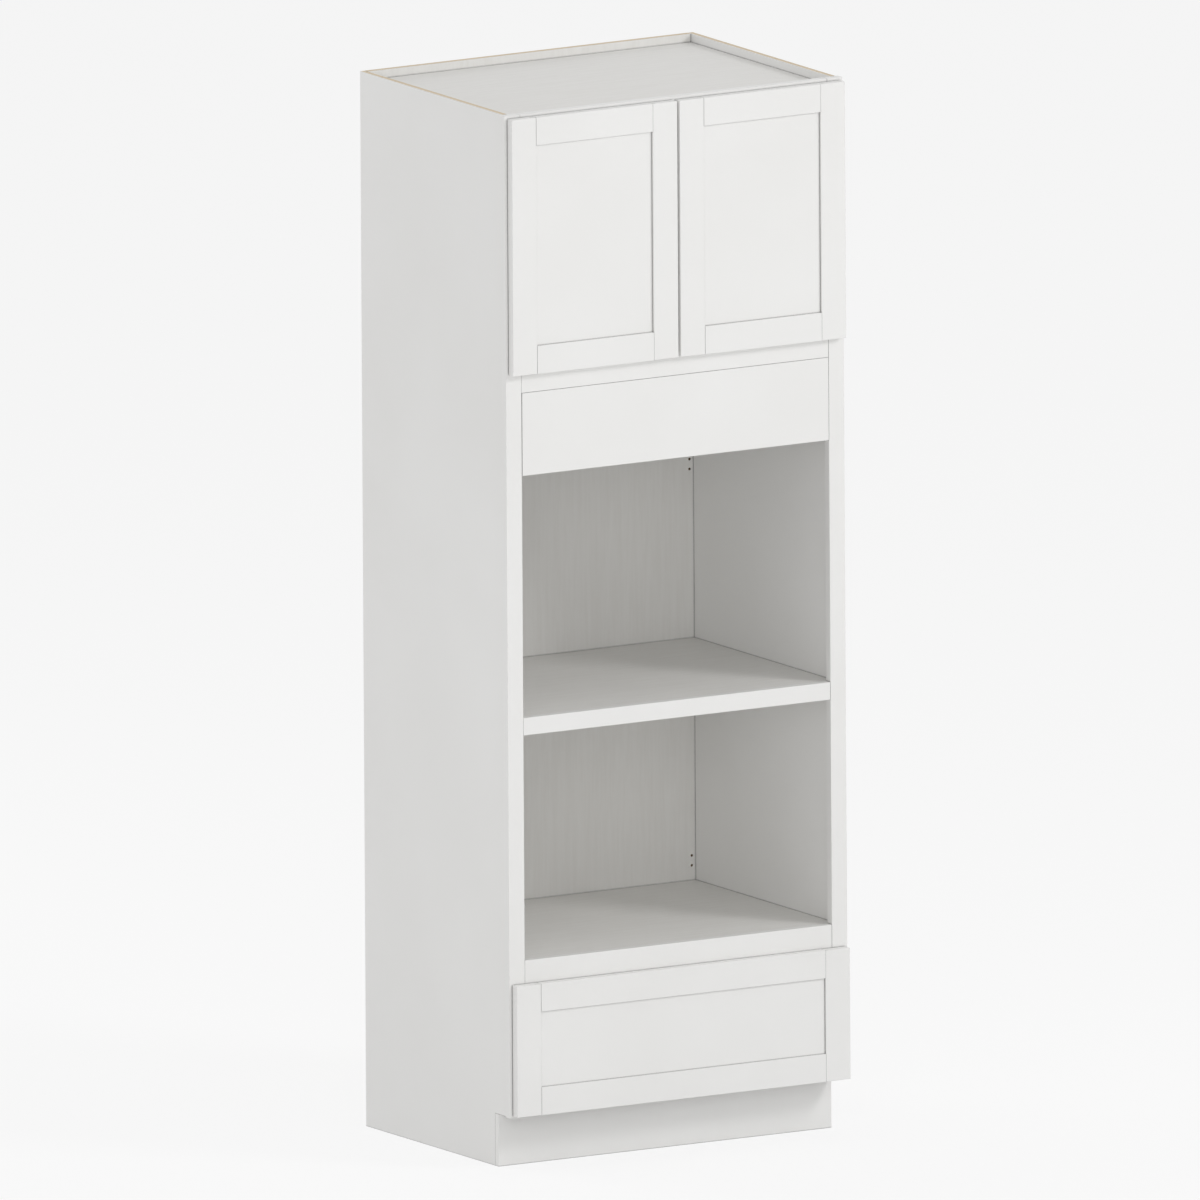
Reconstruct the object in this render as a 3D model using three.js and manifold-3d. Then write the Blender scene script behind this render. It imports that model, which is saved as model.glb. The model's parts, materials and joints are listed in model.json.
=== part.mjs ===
// A tall kitchen cabinet for a wall oven and a microwave: a face frame on a plywood case, a cupboard
// with two framed doors at the top, two open appliance bays, and a wide drawer over the toe space.
// Millimetres. +X is right seen from the front, +Y is towards the wall, +Z is up, the floor is z = 0.

import * as THREE from 'three';
import { mergeVertices } from 'three/addons/utils/BufferGeometryUtils.js';
import Module from 'manifold-3d';

const wasm = await Module();
wasm.setup();

// ---------------------------------------------------------------- driving dimensions

const touch = 0.3; // gap that is left between pieces that bear on each other
const past = 1; // of a cut past the surface that it opens, and of a joined part into the other
const weld = 1e-4; // corners nearer than this are one corner
const roundSides = 16;
const smallRoundSides = 8;
const cupSides = 32;

// Case
const cabinetWidth = 838.2; // over the face frame
const cabinetDepth = 609.6; // front of the face frame to the wall
const frameOverhang = 6; // of the face frame past each side panel
const sideThickness = 12.7;
const backThickness = 12.7;
const boardThickness = 12.7; // top panel, cupboard floor and bottom panel
const bayFloorThickness = 19.05; // the two floors that carry an appliance
const bayFloorDrop = 0.6; // of a bay floor below the rail in front of it
const topRecess = 18.4; // of the top panel below the top edges
const dadoDepth = 4; // of the grooves that hold the level boards in the sides
const tongueShoulder = 5; // of a level board's tongue below its upper face

// Toe space
const kickHeight = 114.3;
const kickSetback = 60;
const kickThickness = 12.7;

// Face frame, from the toe space up
const frameThickness = 19.05;
const stileWidth = 38.1;
const bottomRailHeight = 38.1;
const drawerOpeningHeight = 224.4;
const drawerRailHeight = 76.2;
const ovenOpeningHeight = 487.2;
const middleRailHeight = 38.1;
const microwaveOpeningHeight = 524.1;
const fillerHeight = 180;
const cupboardRailHeight = 76.2;
const cupboardOpeningHeight = 489.3;
const topRailHeight = 38.1;
const tenonLength = 19;
const tenonThickness = 6.35;
const tenonShoulder = 6; // from a rail's long edges to its tenon

// Filler board over the microwave, and the cleats that hold it
const fillerEndGap = 1.5;
const cleatWidth = 29;
const cleatThickness = 15.9;
const cleatLap = 13; // of a cleat behind the filler
const cleatSlope = 0.58; // fall of its lower end for each unit across
const cleatDrop = 5; // of its lower end, at the filler's end, below the filler

// Doors and drawer front: a groove in stiles and rails holds a flat centre panel
const frontThickness = 19.05;
const bumperGap = 1.6; // behind a closed door or drawer
const frontRailWidth = 60.3;
const panelThickness = 6.35;
const panelSlack = 1.6; // between a panel's edge and the groove's floor
const grooveDepth = 9.5;
const doorPanelRecess = 6;
const drawerPanelRecess = 4.7;
const doorOverlay = 32.1; // past the opening's sides
const doorTopOverlay = 32.1;
const doorBottomOverlay = 34;
const doorGap = 5.9; // between the two doors
const drawerTopOverlay = 26.2;
const drawerBottomOverlay = 34;

// Concealed hinges, seen from above: u runs inwards from the door's outer edge, v out of the frame
const hingeInset = 95; // from the door's ends
const cupRadius = 17.5;
const cupWall = 1.4;
const cupFloor = 0.8;
const cupDepth = 12.7;
const cupEdgeMargin = 3.9; // from the door's outer edge to the cup
const cupToStileEdge = 10.7; // least distance from the cup's centre to the opening
const cupFlange = 0.9;
const cupRim = 1.6; // of the flange round the cup
const cupScrewSpacing = 45;
const cupScrewOffset = 9.5; // of the two screws from the cup's centre, away from the door's edge
const cupWingRadius = 6.5;
const hingeScrewRadius = 2.1;
const linkWidth = 10;
const linkThickness = 2.5;
const linkEyeRadius = 2.8;
const linkBend = 2.6; // from the cup's centre towards the door's outer edge
const linkFloorGap = 1.15; // under the bend
const pinRadius = 1.4;
const pinClearance = 0.35;
const cupPinWallGap = 4.9; // from the cup's wall to the pin in the cup
const cupPinDepth = 4.6; // below the door's back face
const framePinInset = 7.4; // from the stile's edge into the opening
const framePinDepth = 3.5; // behind the frame's front
const basePlateHeight = 50;
const basePlateThickness = 2;
const baseScrewSpacing = 34;
const earThickness = 2.5;
const earGap = 0.6; // beside the link

// Drawer box
const boxSideThickness = 12.7;
const boxFrontThickness = 15.9;
const boxBottomThickness = 6.35;
const boxBottomRise = 12.7; // of the bottom above the sides' lower edges
const boxGrooveDepth = 6;
const boxUnderGap = 15; // over the bottom rail
const boxOverGap = 19; // under the drawer rail
const dovetailPitch = 38; // about, between the middles of two tails
const dovetailPin = 9; // least width of a pin between two tails
const dovetailSlope = 1 / 7;

// Drawer slides: three nested rails a side, pressed from sheet, that run on two rows of balls
const slideThickness = 12.7;
const slideHeight = 45.7;
const slideGauge = 1.2;
const slideBallRadius = 1.6;
const slideBallPlay = 0.3; // between a ball and its races
const slideWebGap = 1; // between the webs of the outer and the middle rail
const slideLipAngle = 125; // how far a rail's lip curls over a ball, in degrees from its web
const innerLipAngles = [235, 295]; // of the inner rail's lip, under the second row of balls
const innerLipRise = 1.4; // of the inner rail's lip on its way from the web to the balls
const slideArcSteps = 5;
const slideSlotLength = 9;
const slideSlotRadius = 2.2;
const slideSlotInset = 10; // of the first screw slot behind the frame's front
const slideSetback = 3; // behind the frame's front
const slideRise = 42.4; // of a slide's middle above the rail under it
const socketReach = 60; // of the rear bracket, to the back panel
const socketHeight = 38;
const socketFootWidth = 19;
const microwavePilotRise = 376; // of the pilot holes in the microwave bay above its rail
const pilotSpacing = 21.5;
const pilotRadius = 3;
const pilotInset = 9.5; // outside the frame's opening

// Adjustable shelf in the cupboard
const shelfThickness = 19.05;
const shelfEndGap = 1.5;
const shelfSetback = 4; // from the frame and from the back panel
const pinRowInset = 70; // of the rows of holes from the frame and from the back panel
const pinHoleRadius = 2.5;
const pinHoleDepth = 9;
const pinHolePitch = 32;
const pinHoleCount = 5; // in each row
const pinTabLength = 11;
const pinTabWidth = 9;
const pinTabThickness = 2.5;
const pinCollarRadius = 4.5;
const pinCollarThickness = 1.5;

// ---------------------------------------------------------------- levels and places that follow

const bottomRailTop = kickHeight + bottomRailHeight;
const drawerRailBottom = bottomRailTop + drawerOpeningHeight;
const drawerRailTop = drawerRailBottom + drawerRailHeight;
const middleRailBottom = drawerRailTop + ovenOpeningHeight;
const middleRailTop = middleRailBottom + middleRailHeight;
const fillerBottom = middleRailTop + microwaveOpeningHeight;
const cupboardRailBottom = fillerBottom + fillerHeight;
const cupboardRailTop = cupboardRailBottom + cupboardRailHeight;
const topRailBottom = cupboardRailTop + cupboardOpeningHeight;
const cabinetHeight = topRailBottom + topRailHeight;

const frameEdge = cabinetWidth / 2;
const openingEdge = frameEdge - stileWidth;
const sideOuter = frameEdge - frameOverhang;
const sideInner = sideOuter - sideThickness;
const caseFront = frameThickness + touch;
const backFront = cabinetDepth - backThickness;
const boardBack = backFront - touch;

const frontsBack = -bumperGap;
const frontsFace = frontsBack - frontThickness;
const doorEdge = openingEdge + doorOverlay;
const doorBottom = cupboardRailTop - doorBottomOverlay;
const doorTop = topRailBottom + doorTopOverlay;
const drawerFrontBottom = bottomRailTop - drawerBottomOverlay;
const drawerFrontTop = drawerRailBottom + drawerTopOverlay;
const hingeLevels = { lower: doorBottom + hingeInset, upper: doorTop - hingeInset };

const slideLevel = bottomRailTop + slideRise;
const slideBack = backFront - socketReach;
const boxHalfWidth = openingEdge - slideThickness;
const boxFace = frontsBack + touch;
const boxBack = slideBack - slideSetback + boxFace;
const boxUnderside = bottomRailTop + boxUnderGap;
const boxRim = drawerRailBottom - boxOverGap;

// ---------------------------------------------------------------- materials

const paint = new THREE.MeshStandardMaterial({ color: 0xf2f1ee, roughness: 0.42, metalness: 0 });
const lining = new THREE.MeshStandardMaterial({ color: 0xefeeea, roughness: 0.5, metalness: 0 });
const birch = new THREE.MeshStandardMaterial({ color: 0xd9bf94, roughness: 0.55, metalness: 0 });
const steel = new THREE.MeshStandardMaterial({ color: 0xb9bcc0, roughness: 0.32, metalness: 1 });
const nickel = new THREE.MeshStandardMaterial({ color: 0xc4c2bd, roughness: 0.25, metalness: 1 });

// ---------------------------------------------------------------- solids

// A closed geometry as a solid that can be joined and cut.
function solidOf(geometry) {
  const plain = geometry.clone();
  plain.deleteAttribute('normal');
  plain.deleteAttribute('uv');
  const merged = mergeVertices(plain, weld);
  return new wasm.Manifold(new wasm.Mesh({
    numProp: 3,
    vertProperties: new Float32Array(merged.attributes.position.array),
    triVerts: new Uint32Array(merged.index.array),
  }));
}

function geometryOf(solid) {
  const mesh = solid.getMesh();
  const geometry = new THREE.BufferGeometry();
  geometry.setAttribute('position', new THREE.Float32BufferAttribute(mesh.vertProperties, 3));
  geometry.setIndex(Array.from(mesh.triVerts));
  geometry.computeVertexNormals();
  return geometry;
}

function blockGeometry([x0, x1], [y0, y1], [z0, z1]) {
  const geometry = new THREE.BoxGeometry(x1 - x0, y1 - y0, z1 - z0);
  return geometry.translate((x0 + x1) / 2, (y0 + y1) / 2, (z0 + z1) / 2);
}

function block(xs, ys, zs) {
  return solidOf(blockGeometry(xs, ys, zs));
}

// A round bar between two values of one axis, with its centre given on the other two.
function bar(axis, radius, [from, to], [x, y, z], sides = roundSides) {
  const geometry = new THREE.CylinderGeometry(radius, radius, to - from, sides);
  const middle = (from + to) / 2;
  if (axis === 'x') return solidOf(geometry.rotateZ(Math.PI / 2).translate(middle, y, z));
  if (axis === 'z') return solidOf(geometry.rotateX(Math.PI / 2).translate(x, y, middle));
  return solidOf(geometry.translate(x, middle, z));
}

function outline(points) {
  return new THREE.Shape(points.map(([x, y]) => new THREE.Vector2(x, y)));
}

function extruded(shape, length, curveSegments = 8) {
  return new THREE.ExtrudeGeometry(shape, { depth: length, bevelEnabled: false, curveSegments });
}

// An outline drawn in x and y, raised from one height to another.
function upright(shape, [z0, z1], curveSegments) {
  return solidOf(extruded(shape, z1 - z0, curveSegments).translate(0, 0, z0));
}

// An outline drawn in x and z, run from front to back.
function runBack(shape, [y0, y1]) {
  return solidOf(extruded(shape, y1 - y0).rotateX(Math.PI / 2).translate(0, y1, 0));
}

// An outline drawn in y and z, run from left to right.
function runAcross(shape, [x0, x1]) {
  const turn = new THREE.Matrix4().makeBasis(
    new THREE.Vector3(0, 1, 0),
    new THREE.Vector3(0, 0, 1),
    new THREE.Vector3(1, 0, 0),
  );
  return solidOf(extruded(shape, x1 - x0).applyMatrix4(turn).translate(x0, 0, 0));
}

function addPiece(group, name, material, geometry) {
  const mesh = new THREE.Mesh(geometry, material);
  mesh.name = name;
  group.add(mesh);
  return mesh;
}

function addSolid(group, name, material, solid) {
  return addPiece(group, name, material, geometryOf(solid));
}

// A plain board, as a box at its own place.
function addBoard(group, name, material, [x0, x1], [y0, y1], [z0, z1]) {
  const mesh = addPiece(group, name, material, new THREE.BoxGeometry(x1 - x0, y1 - y0, z1 - z0));
  mesh.position.set((x0 + x1) / 2, (y0 + y1) / 2, (z0 + z1) / 2);
  return mesh;
}

// The span on the right, or its mirror image on the left, with the lower value first.
function mirrored(hand, near, far) {
  return hand > 0 ? [near, far] : [-far, -near];
}

const hands = { left: -1, right: 1 };

// ---------------------------------------------------------------- case

// Upper faces and thicknesses of the boards that lie in the sides' grooves, from the bottom up
const levelBoards = [
  { name: 'bottom_panel', top: bottomRailTop, thickness: boardThickness },
  { name: 'oven_floor', top: drawerRailTop - bayFloorDrop, thickness: bayFloorThickness },
  { name: 'microwave_floor', top: middleRailTop - bayFloorDrop, thickness: bayFloorThickness },
  { name: 'cupboard_floor', top: cupboardRailTop, thickness: boardThickness },
  { name: 'top_panel', top: cabinetHeight - topRecess, thickness: boardThickness },
];

// Each level board ends in a tongue at its lower face, which lies in the side's groove.
function addLevelBoards(group) {
  const shoulder = sideInner - touch;
  const end = sideInner + dadoDepth - touch;
  const depth = [caseFront, boardBack];
  for (const { name, top, thickness } of levelBoards) {
    const board = block([-shoulder, shoulder], depth, [top - thickness, top])
      .add(block([-end, end], depth, [top - thickness, top - tongueShoulder]));
    addSolid(group, name, lining, board);
  }
}

const pinRows = [caseFront + pinRowInset, boardBack - pinRowInset];
const pinHoleMiddle = cupboardRailTop + cupboardOpeningHeight / 2;

function pinHoleLevels() {
  const middle = (pinHoleCount - 1) / 2;
  return Array.from({ length: pinHoleCount }, (_, i) => pinHoleMiddle + (i - middle) * pinHolePitch);
}

// A side panel with its toe notch, the grooves for the level boards and the rows of shelf holes.
function addSidePanel(group, name, hand) {
  const notch = kickSetback + kickThickness + touch;
  const profile = outline([
    [caseFront, kickHeight], [notch, kickHeight], [notch, 0],
    [cabinetDepth, 0], [cabinetDepth, cabinetHeight], [caseFront, cabinetHeight],
  ]);
  let panel = runAcross(profile, mirrored(hand, sideInner, sideOuter));
  const dado = mirrored(hand, sideInner - past, sideInner + dadoDepth);
  for (const { top, thickness } of levelBoards) {
    const groove = [top - thickness - touch, top - tongueShoulder + touch];
    panel = panel.subtract(block(dado, [caseFront - past, backFront], groove));
  }
  const hole = mirrored(hand, sideInner - past, sideInner + pinHoleDepth);
  for (const y of pinRows) {
    for (const z of pinHoleLevels()) {
      panel = panel.subtract(bar('x', pinHoleRadius, hole, [0, y, z], smallRoundSides));
    }
  }
  addSolid(group, name, paint, panel);
}

// The back panel, with a pair of pilot holes a side for the rear bracket of a slide in each bay.
function addBackPanel(group) {
  const edge = sideInner - touch;
  let panel = block([-edge, edge], [backFront, cabinetDepth], [0, cabinetHeight]);
  const pairs = [slideLevel, drawerRailTop + slideRise, middleRailTop + microwavePilotRise];
  for (const level of pairs) {
    for (const hand of Object.values(hands)) {
      panel = panel.subtract(pilotHoles(hand, level, [backFront - past, cabinetDepth + past]));
    }
  }
  addSolid(group, 'back_panel', lining, panel);
}

function pilotHoles(hand, level, depth) {
  const x = hand * (openingEdge + pilotInset);
  const [lower, upper] = [-pilotSpacing / 2, pilotSpacing / 2].map((shift) => (
    bar('y', pilotRadius, depth, [x, 0, level + shift], smallRoundSides)
  ));
  return lower.add(upper);
}

function addToeKick(group) {
  addBoard(group, 'toe_kick', paint, [-sideOuter, sideOuter],
    [kickSetback, kickSetback + kickThickness], [0, kickHeight - touch]);
}

// ---------------------------------------------------------------- face frame

const frameRails = {
  frame_bottom_rail: [kickHeight, bottomRailTop],
  frame_drawer_rail: [drawerRailBottom, drawerRailTop],
  frame_middle_rail: [middleRailBottom, middleRailTop],
  frame_cupboard_rail: [cupboardRailBottom, cupboardRailTop],
  frame_top_rail: [topRailBottom, cabinetHeight],
};

// The tenons of a rail with the given heights, both in one block, grown all round for their mortises.
function tenons([z0, z1], grow = 0) {
  const end = openingEdge + tenonLength + grow;
  const half = tenonThickness / 2 + grow;
  const depth = [frameThickness / 2 - half, frameThickness / 2 + half];
  return block([-end, end], depth, [z0 + tenonShoulder - grow, z1 - tenonShoulder + grow]);
}

// Two stiles with a mortise for each rail, and the rails between them.
function addFaceFrame(group) {
  const depth = [0, frameThickness];
  for (const [side, hand] of Object.entries(hands)) {
    let stile = block(mirrored(hand, openingEdge, frameEdge), depth, [kickHeight, cabinetHeight]);
    for (const heights of Object.values(frameRails)) stile = stile.subtract(tenons(heights, touch));
    addSolid(group, `frame_stile_${side}`, paint, stile);
  }
  const end = openingEdge - touch;
  for (const [name, heights] of Object.entries(frameRails)) {
    addSolid(group, name, paint, block([-end, end], depth, heights).add(tenons(heights)));
  }
}

// The filler board, glued to a cleat behind each end whose lower end is cut on a slant.
function addFiller(group) {
  const left = -openingEdge + fillerEndGap;
  const right = openingEdge - touch;
  const top = cupboardRailBottom - touch;
  let filler = block([left, right], [0, frameThickness + touch], [fillerBottom, top]);
  const back = [caseFront, caseFront + cleatThickness];
  for (const hand of Object.values(hands)) {
    const near = openingEdge - cleatLap;
    const far = near + cleatWidth;
    const low = fillerBottom - cleatDrop;
    const cleat = outline([
      [hand * near, low + cleatLap * cleatSlope],
      [hand * far, low - (far - openingEdge) * cleatSlope],
      [hand * far, top],
      [hand * near, top],
    ]);
    filler = filler.add(runBack(cleat, back));
  }
  addSolid(group, 'filler_board', paint, filler);
}

// ---------------------------------------------------------------- doors and drawer front

// Stiles, rails and centre panel of a framed front. cups lists the places of its hinge cups.
function addFramedFront(group, prefix, [x0, x1], [z0, z1], recess, cups = []) {
  const ys = [frontsFace, frontsBack];
  const groove = [frontsFace + recess - touch, frontsFace + recess + panelThickness + touch];
  const inner0 = x0 + frontRailWidth;
  const inner1 = x1 - frontRailWidth;
  const bores = cups.map(([x, z]) => cupBore(x, z));
  const stiles = {
    left: { span: [x0, inner0], cut: [inner0 - grooveDepth, inner0 + past] },
    right: { span: [inner1, x1], cut: [inner1 - past, inner1 + grooveDepth] },
  };
  for (const [side, { span, cut }] of Object.entries(stiles)) {
    let stile = block(span, ys, [z0, z1]).subtract(block(cut, groove, [z0 - past, z1 + past]));
    for (const bore of bores) stile = stile.subtract(bore);
    addSolid(group, `${prefix}_stile_${side}`, paint, stile);
  }
  const railTop0 = z0 + frontRailWidth;
  const railBottom1 = z1 - frontRailWidth;
  const rails = {
    bottom: { span: [z0, railTop0], cut: [railTop0 - grooveDepth, railTop0 + past] },
    top: { span: [railBottom1, z1], cut: [railBottom1 - past, railBottom1 + grooveDepth] },
  };
  const tongueReach = grooveDepth - touch;
  const tongue = [groove[0] + touch, groove[1] - touch];
  for (const [level, { span, cut }] of Object.entries(rails)) {
    const rail = block([inner0 + touch, inner1 - touch], ys, span)
      .add(block([inner0 - tongueReach, inner1 + tongueReach], tongue, span))
      .subtract(block([inner0 - grooveDepth, inner1 + grooveDepth], groove, cut));
    addSolid(group, `${prefix}_rail_${level}`, paint, rail);
  }
  const hidden = grooveDepth - panelSlack;
  addBoard(group, `${prefix}_panel`, paint, [inner0 - hidden, inner1 + hidden], tongue,
    [railTop0 - hidden, railBottom1 + hidden]);
}

function addDoor(group, side) {
  const hand = hands[side];
  const span = mirrored(hand, doorGap / 2, doorEdge);
  const cups = Object.values(hingeLevels).map((z) => [hand * (doorEdge - cupCentre), z]);
  addFramedFront(group, `${side}_door`, span, [doorBottom, doorTop], doorPanelRecess, cups);
}

// ---------------------------------------------------------------- hinges

// Places on the hinge, as u and v
const cupCentre = Math.max(cupRadius + cupEdgeMargin, doorOverlay - cupToStileEdge);
const pocketRadius = cupRadius - cupWall;
const pocketChord = Math.sqrt(pocketRadius ** 2 - (linkWidth / 2) ** 2);
const cupPin = [cupCentre - pocketChord + cupPinWallGap, bumperGap + cupPinDepth];
const framePin = [doorOverlay + framePinInset, -framePinDepth];
const pocketFloor = bumperGap + cupDepth - cupFloor;
const bend = [cupCentre - linkBend, pocketFloor - linkThickness / 2 - linkFloorGap];

// From u and v to the part's x and y.
function plan(hand, [u, v]) {
  return [hand * (doorEdge - u), -v];
}

// Where the two screws of a cup lie on the door's back, as x and z
function cupScrews(hand, level) {
  const x = hand * (doorEdge - cupCentre - cupScrewOffset);
  return [-1, 1].map((end) => [x, level + (end * cupScrewSpacing) / 2]);
}

function cupBore(x, z) {
  const depth = [frontsBack - cupDepth - touch, frontsBack + past];
  return bar('y', cupRadius + touch, depth, [x, 0, z], cupSides);
}

// A straight bar with round ends, seen from above.
function roundEnded([x0, y0], [x1, y1], radius) {
  const along = Math.atan2(y1 - y0, x1 - x0);
  const shape = new THREE.Shape();
  shape.absarc(x1, y1, radius, along - Math.PI / 2, along + Math.PI / 2, false);
  shape.absarc(x0, y0, radius, along + Math.PI / 2, along + (3 * Math.PI) / 2, false);
  return shape;
}

// The cup: a round pan let into the door, with a rim and two screwed wings on the door's back and a
// pin across it.
function hingeCup(hand, level) {
  const x = hand * (doorEdge - cupCentre);
  const depth = [frontsBack - cupDepth, frontsBack + cupFlange];
  const seat = [frontsBack + touch / 2, depth[1]];
  const pocket = [depth[0] + cupFloor, depth[1] + past];
  const [lower, upper] = cupScrews(hand, level);
  let cup = bar('y', cupRadius, depth, [x, 0, level], cupSides)
    .add(bar('y', cupRadius + cupRim, seat, [x, 0, level], cupSides))
    .add(runBack(roundEnded(lower, upper, cupWingRadius), seat))
    .subtract(bar('y', pocketRadius, pocket, [x, 0, level], cupSides));
  for (const [screwX, screwZ] of [lower, upper]) {
    const hole = [seat[0] - past, seat[1] + past];
    cup = cup.subtract(bar('y', hingeScrewRadius, hole, [screwX, 0, screwZ], smallRoundSides));
  }
  const [pinX, pinY] = plan(hand, cupPin);
  const pinHalf = Math.sqrt((cupRadius - cupWall / 2) ** 2 - (pinX - x) ** 2);
  return cup.add(bar('z', pinRadius, [level - pinHalf, level + pinHalf], [pinX, pinY, 0]));
}

// The link: a cranked strip with an eye at each end, which swings the cup clear of the frame.
function hingeLink(hand, level) {
  const heights = [level - linkWidth / 2, level + linkWidth / 2];
  const places = [framePin, bend, cupPin].map((place) => plan(hand, place));
  const [atFrame, atBend, atCup] = places;
  let link = upright(roundEnded(atFrame, atBend, linkThickness / 2), heights)
    .add(upright(roundEnded(atBend, atCup, linkThickness / 2), heights));
  for (const [x, y] of [atFrame, atCup]) link = link.add(bar('z', linkEyeRadius, heights, [x, y, 0]));
  const through = [heights[0] - past, heights[1] + past];
  for (const [x, y] of [atFrame, atCup]) {
    link = link.subtract(bar('z', pinRadius + pinClearance, through, [x, y, 0]));
  }
  return link;
}

// The base: a plate on the stile's inner edge, notched where the link lies, with two ears and the
// pin that carries the link.
function hingeBase(hand, level) {
  const edge = openingEdge - touch;
  const plateFront = touch;
  const plate = block(mirrored(hand, edge - basePlateThickness, edge),
    [plateFront, frameThickness], [level - basePlateHeight / 2, level + basePlateHeight / 2]);
  const [pinX, pinY] = plan(hand, framePin);
  const ear = new THREE.Shape();
  const earRadius = Math.min(linkEyeRadius, framePinDepth - touch);
  const root = hand * (edge - basePlateThickness / 2);
  const side = hand > 0;
  ear.moveTo(root, plateFront);
  ear.absarc(pinX, pinY, earRadius, -Math.PI / 2, Math.PI / 2, side);
  ear.lineTo(root, frameThickness);
  const inner = linkWidth / 2 + earGap;
  const outer = inner + earThickness;
  const through = mirrored(hand, edge - basePlateThickness - past, edge + past);
  const notch = block(through, [plateFront - past, framePinDepth], [level - inner, level + inner]);
  const plateMiddle = (plateFront + frameThickness) / 2;
  const [lowerScrew, upperScrew] = [-1, 1].map((end) => (
    bar('x', hingeScrewRadius, through, [0, plateMiddle, level + (end * baseScrewSpacing) / 2],
      smallRoundSides)
  ));
  return plate
    .subtract(notch)
    .subtract(lowerScrew)
    .subtract(upperScrew)
    .add(upright(ear, [level + inner, level + outer]))
    .add(upright(ear, [level - outer, level - inner]))
    .add(bar('z', pinRadius, [level - outer + touch, level + outer - touch], [pinX, pinY, 0]));
}

function addHinges(fixed, links, door, side) {
  const hand = hands[side];
  for (const [place, level] of Object.entries(hingeLevels)) {
    const prefix = `${side}_${place}_hinge`;
    addSolid(fixed, `${prefix}_base`, nickel, hingeBase(hand, level));
    addSolid(links, `${prefix}_link`, nickel, hingeLink(hand, level));
    addSolid(door, `${prefix}_cup`, nickel, hingeCup(hand, level));
  }
}

// ---------------------------------------------------------------- drawer

// The dovetails of one end of a side, as outlines in y and z. The tails narrow from their wide end to
// the narrow one, which may lie past the shoulder, and grow widens them for cutting their sockets.
function dovetails([z0, z1], wideEnd, [from, to], grow = 0) {
  const count = Math.max(1, Math.round((z1 - z0) / dovetailPitch));
  const pitch = (z1 - z0) / count;
  const away = Math.sign(to - from);
  const halfAt = (y) => (pitch - dovetailPin) / 2 - away * (y - wideEnd) * dovetailSlope + grow;
  return Array.from({ length: count }, (_, i) => {
    const middle = z0 + (i + 0.5) * pitch;
    return outline([
      [from, middle - halfAt(from)], [to, middle - halfAt(to)],
      [to, middle + halfAt(to)], [from, middle + halfAt(from)],
    ]);
  });
}

const boxInside = boxHalfWidth - boxSideThickness;
const boxHeights = [boxUnderside, boxRim];
const boxBottomHeights = [boxUnderside + boxBottomRise, boxUnderside + boxBottomRise + boxBottomThickness];
const boxGroove = [boxBottomHeights[0] - touch, boxBottomHeights[1] + touch];
const boxFrontInner = boxFace + boxFrontThickness;
const boxBackInner = boxBack - boxSideThickness;
const boxBackHeights = [boxGroove[1], boxRim];

// A drawer side: tails at both ends, and a groove for the bottom, which slides in under the back.
function addBoxSide(group, name, hand) {
  const thickness = mirrored(hand, boxInside, boxHalfWidth);
  const shoulders = [boxFrontInner + touch, boxBackInner - touch];
  let side = block(thickness, shoulders, boxHeights)
    .add(block(thickness, [shoulders[1] - past, boxBack], [boxUnderside, boxGroove[1] - touch]));
  const tails = [
    ...dovetails(boxHeights, boxFace, [boxFace, shoulders[0] + past]),
    ...dovetails(boxBackHeights, boxBack, [boxBack, shoulders[1] - past]),
  ];
  for (const tail of tails) side = side.add(runAcross(tail, thickness));
  const groove = mirrored(hand, boxInside - past, boxInside + boxGrooveDepth);
  side = side.subtract(block(groove, [boxFrontInner - boxGrooveDepth, boxBack + past], boxGroove));
  addSolid(group, name, birch, side);
}

// The front or back board of the box, as wide as the box, with the tails' sockets at its ends.
// outside and inside are the places of its outer and inner face.
function boxEnd(outside, inside, heights) {
  const depth = [Math.min(outside, inside), Math.max(outside, inside)];
  const away = Math.sign(inside - outside);
  const reach = [outside - away * past, inside + away * past];
  let board = block([-boxHalfWidth, boxHalfWidth], depth, heights);
  for (const hand of Object.values(hands)) {
    const sockets = mirrored(hand, boxInside - touch, boxHalfWidth + past);
    for (const tail of dovetails(heights, outside, reach, touch)) {
      board = board.subtract(runAcross(tail, sockets));
    }
  }
  return board;
}

function addDrawerBox(group) {
  for (const [side, hand] of Object.entries(hands)) addBoxSide(group, `drawer_box_side_${side}`, hand);
  const reach = boxInside + boxGrooveDepth;
  const groove = [boxFrontInner - boxGrooveDepth, boxFrontInner + past];
  const front = boxEnd(boxFace, boxFrontInner, boxHeights)
    .subtract(block([-reach, reach], groove, boxGroove));
  addSolid(group, 'drawer_box_front', birch, front);
  addSolid(group, 'drawer_box_back', birch, boxEnd(boxBack, boxBackInner, boxBackHeights));
  addBoard(group, 'drawer_box_bottom', birch, [-reach + touch, reach - touch],
    [groove[0] + touch, boxBack], boxBottomHeights);
}

// The middle line of sheet metal, given as points, thickened to both sides of it.
function sheet(line, gauge) {
  const along = line.slice(1).map((point, i) => point.clone().sub(line[i]).normalize());
  const sideways = line.map((point, i) => {
    const before = along[Math.max(i - 1, 0)];
    const after = along[Math.min(i, along.length - 1)];
    const middle = before.clone().add(after).normalize();
    const reach = gauge / 2 / middle.dot(before);
    return new THREE.Vector2(-middle.y, middle.x).multiplyScalar(reach);
  });
  const left = line.map((point, i) => point.clone().add(sideways[i]));
  const right = line.map((point, i) => point.clone().sub(sideways[i]));
  return new THREE.Shape([...left, ...right.reverse()]);
}

const raceRadius = slideBallRadius + slideBallPlay + slideGauge / 2;

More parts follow.
